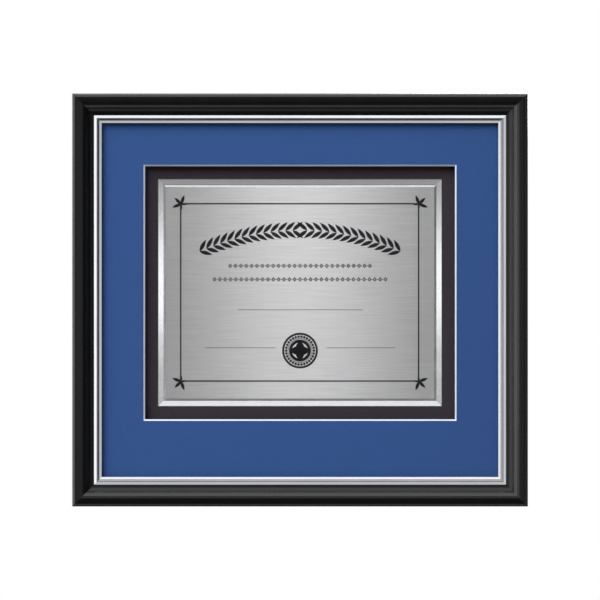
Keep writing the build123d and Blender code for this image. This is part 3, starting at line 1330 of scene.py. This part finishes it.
@dataclass(frozen=True)
class Softbox:
    """A soft studio lamp: a lit panel that faces a point.

    Attributes:
        name: Lamp's name.
        place: Middle of the panel.
        aim: Point that it faces.
        width: Its width.
        height: Its height.
        radiance: How bright the panel is.
        reach: Surfaces that it shows on.
        subjects: The only pieces that it lights. With none named it lights all but the floor.
        clear: Pieces that cast no shadow from it.
    """

    name: str
    place: Point
    aim: Point
    width: float
    height: float
    radiance: float
    reach: Reach = Reach.ALL
    subjects: tuple[str, ...] = ()
    clear: tuple[str, ...] = ()

    def build(self) -> None:
        """Hangs the lamp."""
        lamp = bpy.data.lights.new(self.name, "AREA")
        lamp.shape = "RECTANGLE"
        lamp.size, lamp.size_y = self.width, self.height
        lamp.energy = PANEL_POWER * self.radiance * self.width * self.height
        holder = bpy.data.objects.new(self.name, lamp)
        holder.location = self.place
        holder.rotation_euler = (Vector(self.aim) - Vector(self.place)).to_track_quat("-Z", "Y").to_euler()
        holder.visible_camera = False
        holder.visible_glossy, holder.visible_diffuse = self.reach.value
        bpy.context.scene.collection.objects.link(holder)
        state = "INCLUDE" if self.subjects else "EXCLUDE"
        linking = holder.light_linking
        linking.receiver_collection = linked_set(f"{self.name}_subjects", self.subjects or FLOOR, state)
        if self.clear:
            linking.blocker_collection = linked_set(f"{self.name}_clear", self.clear, "EXCLUDE")


@dataclass
class Studio:
    """Pale floor, soft lamps, white surround and the camera.

    Attributes:
        floor_height: Height of the floor below the frame's middle.
        floor_size: Width and depth of the floor.
        floor_back: How far behind the frame it reaches.
        camera_distance: Distance from the camera to the frame's middle.
        view_width: Width that the picture takes in there.
        sensor_width: The camera's sensor in millimetres.
        surround_light: How much light the surround gives.
        softboxes: The lamps.
    """

    floor_height: float = -0.36
    floor_size: float = 12.0
    floor_back: float = 1.0
    camera_distance: float = 4.0
    view_width: float = 536.4 * MM
    sensor_width: float = 36.0
    surround_light: float = 0.01
    softboxes: tuple[Softbox, ...] = (
        # Daylight from the upper left on all that is matt, with weak light from the other sides.
        Softbox("key", (-2.2, -2.32, 3.02), (0, 0, 0), 4.0, 4.0, 5.9, Reach.MATT, clear=PLATES),
        Softbox("front_fill", (0.2, -3.0, 0.2), (0, 0, 0), 2.0, 2.0, 0.57, Reach.MATT),
        Softbox("low_fill", (1.7, -1.5, -2.0), (0, 0, 0), 2.0, 2.0, 1.28, Reach.MATT, clear=FLOOR),
        Softbox("mat_rake", (1.2, -0.14, -0.1), (0, 0, 0), 0.2, 0.4, 14.0, Reach.MATT, MAT, GLASS),
        # Bright bands along the rails and slips, above, to the left, to the right, in front and below.
        Softbox("overhead", (0, -0.535, 1.2), (0, -0.535, 0), 1.8, 1.33, 1.0, Reach.GLOSS),
        Softbox(
            "upper_front", (0, -1.5, 1.2), (0, -1.5, 0), 1.8, 0.6, 1.4, Reach.GLOSS, SLIPS + BOTTOM_RAIL),
        Softbox("slip_upper", (0, -2.1, 1.2), (0, -2.1, 0), 1.8, 0.6, 1.3, Reach.GLOSS, SLIPS),
        Softbox("far_top", (0, -3.0, 0.8), (0, 0, 0), 1.8, 1.0, 0.45, Reach.GLOSS, BOTTOM_RAIL),
        Softbox("left_side", (-1.2, -0.3, 0), (0, -0.3, 0), 0.9, 0.8, 1.0, Reach.GLOSS),
        Softbox(
            "left_front", (-1.2, -1.25, 0), (0, -1.25, 0), 1.0, 0.8, 1.3, Reach.GLOSS,
            SLIPS + RIGHT_RAIL),
        Softbox("slip_left", (-1.2, -2.1, 0), (0, -2.1, 0), 0.7, 0.8, 1.2, Reach.GLOSS, SLIPS),
        Softbox("far_left", (-1.0, -3.0, 0), (0, 0, 0), 1.5, 0.8, 0.6, Reach.GLOSS, RIGHT_RAIL),
        Softbox("right_front", (1.2, -1.625, 0), (0, -1.625, 0), 1.75, 0.8, 0.72, Reach.GLOSS, SLIPS),
        Softbox("right_side", (1.2, -0.3, 0), (0, -0.3, 0), 0.9, 0.8, 0.25, Reach.GLOSS, RIGHT_RAIL),
        Softbox("front_wash", (0, -3.5, 0), (0, 0, 0), 5.0, 1.0, 0.2, Reach.GLOSS, SIDE_RAILS),
        Softbox(
            "front_card", (0, -0.585, -0.33), (0, -0.585, 0), 1.4, 0.85, 0.65, Reach.GLOSS, LOWER_SLIPS),
        Softbox("top_slip_card", (0, -0.68, -0.33), (0, -0.68, 0), 1.4, 0.66, 0.65, Reach.GLOSS, TOP_SLIP),
        Softbox(
            "bounce_card", (0, -0.06, -0.33), (0, -0.06, 0), 1.4, 0.63, 0.42, Reach.GLOSS,
            UPPER_RAILS + BORDER),
        Softbox("under_card", (0, -0.03, -0.33), (0, -0.03, 0), 1.4, 0.14, 0.35, Reach.GLOSS, BOTTOM_RAIL),
        # The floor's own even light.
        Softbox("floor_wash", (0, -5.0, 3.0), (0, -5.0, 0), 24.0, 24.0, 1.0, Reach.MATT, FLOOR),
        # The back.
        Softbox("rear_top", (0, 0.6, 1.2), (0, 0, 0), 1.6, 0.5, 2.5),
        Softbox("rear_left", (-1.2, 0.6, 0), (0, 0, 0), 0.5, 1.0, 2.5),
        Softbox("rear_fill", (0.7, 2.0, 0.8), (0, 0, 0), 1.2, 1.2, 6.0),
        # Streak down the brushed plate, and the sheen of both plates.
        Softbox("plate_strip", (0, -1.5, 0.2), (0, 0, 0), 0.1, 0.9, 3.4, Reach.GLOSS, CERTIFICATE),
        Softbox("plate_wash", (0, -2.2, 0.3), (0, 0, 0), 2.4, 1.0, 0.45, Reach.GLOSS, CERTIFICATE),
        Softbox("plate_card", (0, -0.3, -0.33), (0, -0.3, 0), 1.4, 0.5, 0.24, Reach.GLOSS, CERTIFICATE),
        Softbox("left_card", (-1.25, -1.1, -0.33), (-1.25, -1.1, 0), 1.7, 1.7, 0.6, Reach.GLOSS, PLATES),
        Softbox("right_card", (1.25, -1.1, -0.33), (1.25, -1.1, 0), 1.7, 1.7, 0.6, Reach.GLOSS, PLATES),
        Softbox("plate_left", (-1.0, -1.0, 0), (0, 0, 0), 0.4, 0.5, 0.4, Reach.GLOSS, CERTIFICATE),
        Softbox("plate_right", (1.0, -1.0, 0), (0, 0, 0), 0.4, 0.5, 0.25, Reach.GLOSS, CERTIFICATE),
        Softbox("left_sheen", (-0.36, -0.36, 0), (0.12, 0, 0), 0.15, 0.28, 0.53, Reach.GLOSS, BORDER),
        Softbox(
            "left_glint", (-0.35, -0.3525, 0.018), (0.12, 0, 0.018), 0.15, 0.10, 0.80, Reach.GLOSS, BORDER),
        Softbox("right_sheen", (0.36, -0.36, 0), (-0.12, 0, 0), 0.15, 0.28, 0.55, Reach.GLOSS, BORDER),
        Softbox(
            "right_glint", (0.35, -0.3525, 0.018), (-0.12, 0, 0.018), 0.15, 0.10, 0.87, Reach.GLOSS, BORDER),
    )

    def build(self) -> None:
        """Sets up the studio."""
        self.add_floor()
        self.add_surround()
        for softbox in self.softboxes:
            softbox.build()
        self.add_camera()
        bpy.context.scene.view_settings.view_transform = "Standard"

    def add_floor(self) -> None:
        """Lays the floor below the frame."""
        bm = bmesh.new()
        place = Matrix.Translation((0, self.floor_back - self.floor_size / 2, self.floor_height))
        bmesh.ops.create_grid(bm, x_segments=1, y_segments=1, size=self.floor_size / 2, matrix=place)
        floor = add_mesh(FLOOR_NAME, bm, (FLOOR_PAINT,))
        floor.visible_glossy = False
        floor.visible_diffuse = False

    def add_surround(self) -> None:
        """Makes the surround white to the eye and dim as a light."""
        world = bpy.data.worlds.new("white_surround")
        world.use_nodes = True
        tree = world.node_tree
        tree.nodes.clear()
        white = linear("#FFFFFF")
        seen = add_node(tree, "ShaderNodeBackground", {"Color": white, "Strength": 1.0})
        light = add_node(tree, "ShaderNodeBackground", {"Color": white, "Strength": self.surround_light})
        path = add_node(tree, "ShaderNodeLightPath")
        mixed = add_node(tree, "ShaderNodeMixShader", {
            0: path.outputs["Is Camera Ray"],
            1: light.outputs["Background"],
            2: seen.outputs["Background"],
        })
        add_node(tree, "ShaderNodeOutputWorld", {"Surface": mixed.outputs["Shader"]})
        bpy.context.scene.world = world

    def add_camera(self) -> None:
        """Puts the camera square in front of the frame, with a long lens."""
        data = bpy.data.cameras.new("front_camera")
        data.sensor_width = self.sensor_width
        data.lens = self.sensor_width * self.camera_distance / self.view_width
        camera = bpy.data.objects.new("front_camera", data)
        camera.location = (0, -self.camera_distance, 0)
        camera.rotation_euler = (math.pi / 2, 0, 0)
        bpy.context.scene.collection.objects.link(camera)
        bpy.context.scene.camera = camera


def main() -> None:
    """Builds the frame's looks in order."""
    logging.basicConfig(level=logging.INFO, format="%(name)s: %(message)s")
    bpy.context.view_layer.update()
    size = FrameSize.read()
    for part in (
        LacqueredRails(size, (BLACK_LACQUER, HOLLOW_LACQUER), "rail_moulding", "rail"),
        # The slips' second finish is painted shade in their grooves.
        SilverSlips(size, (SILVER_FOIL, GROOVE_PAINTED_SHADE), "slip_moulding", "slip"),
        WindowMat(),
        BorderPlate("border_plate", "polished_border_plate", POLISHED_ALUMINIUM, POLISHED_ALUMINIUM),
        CertificatePlate(
            "certificate_plate", "brushed_certificate_plate", BRUSHED_ALUMINIUM, POLISHED_ALUMINIUM),
        Engraving(),
        CornerNails(size),
        TurnButtons(),
        Fittings(),
        Layers(),
        Studio(),
    ):
        part.build()


if __name__ == "__main__":
    main()
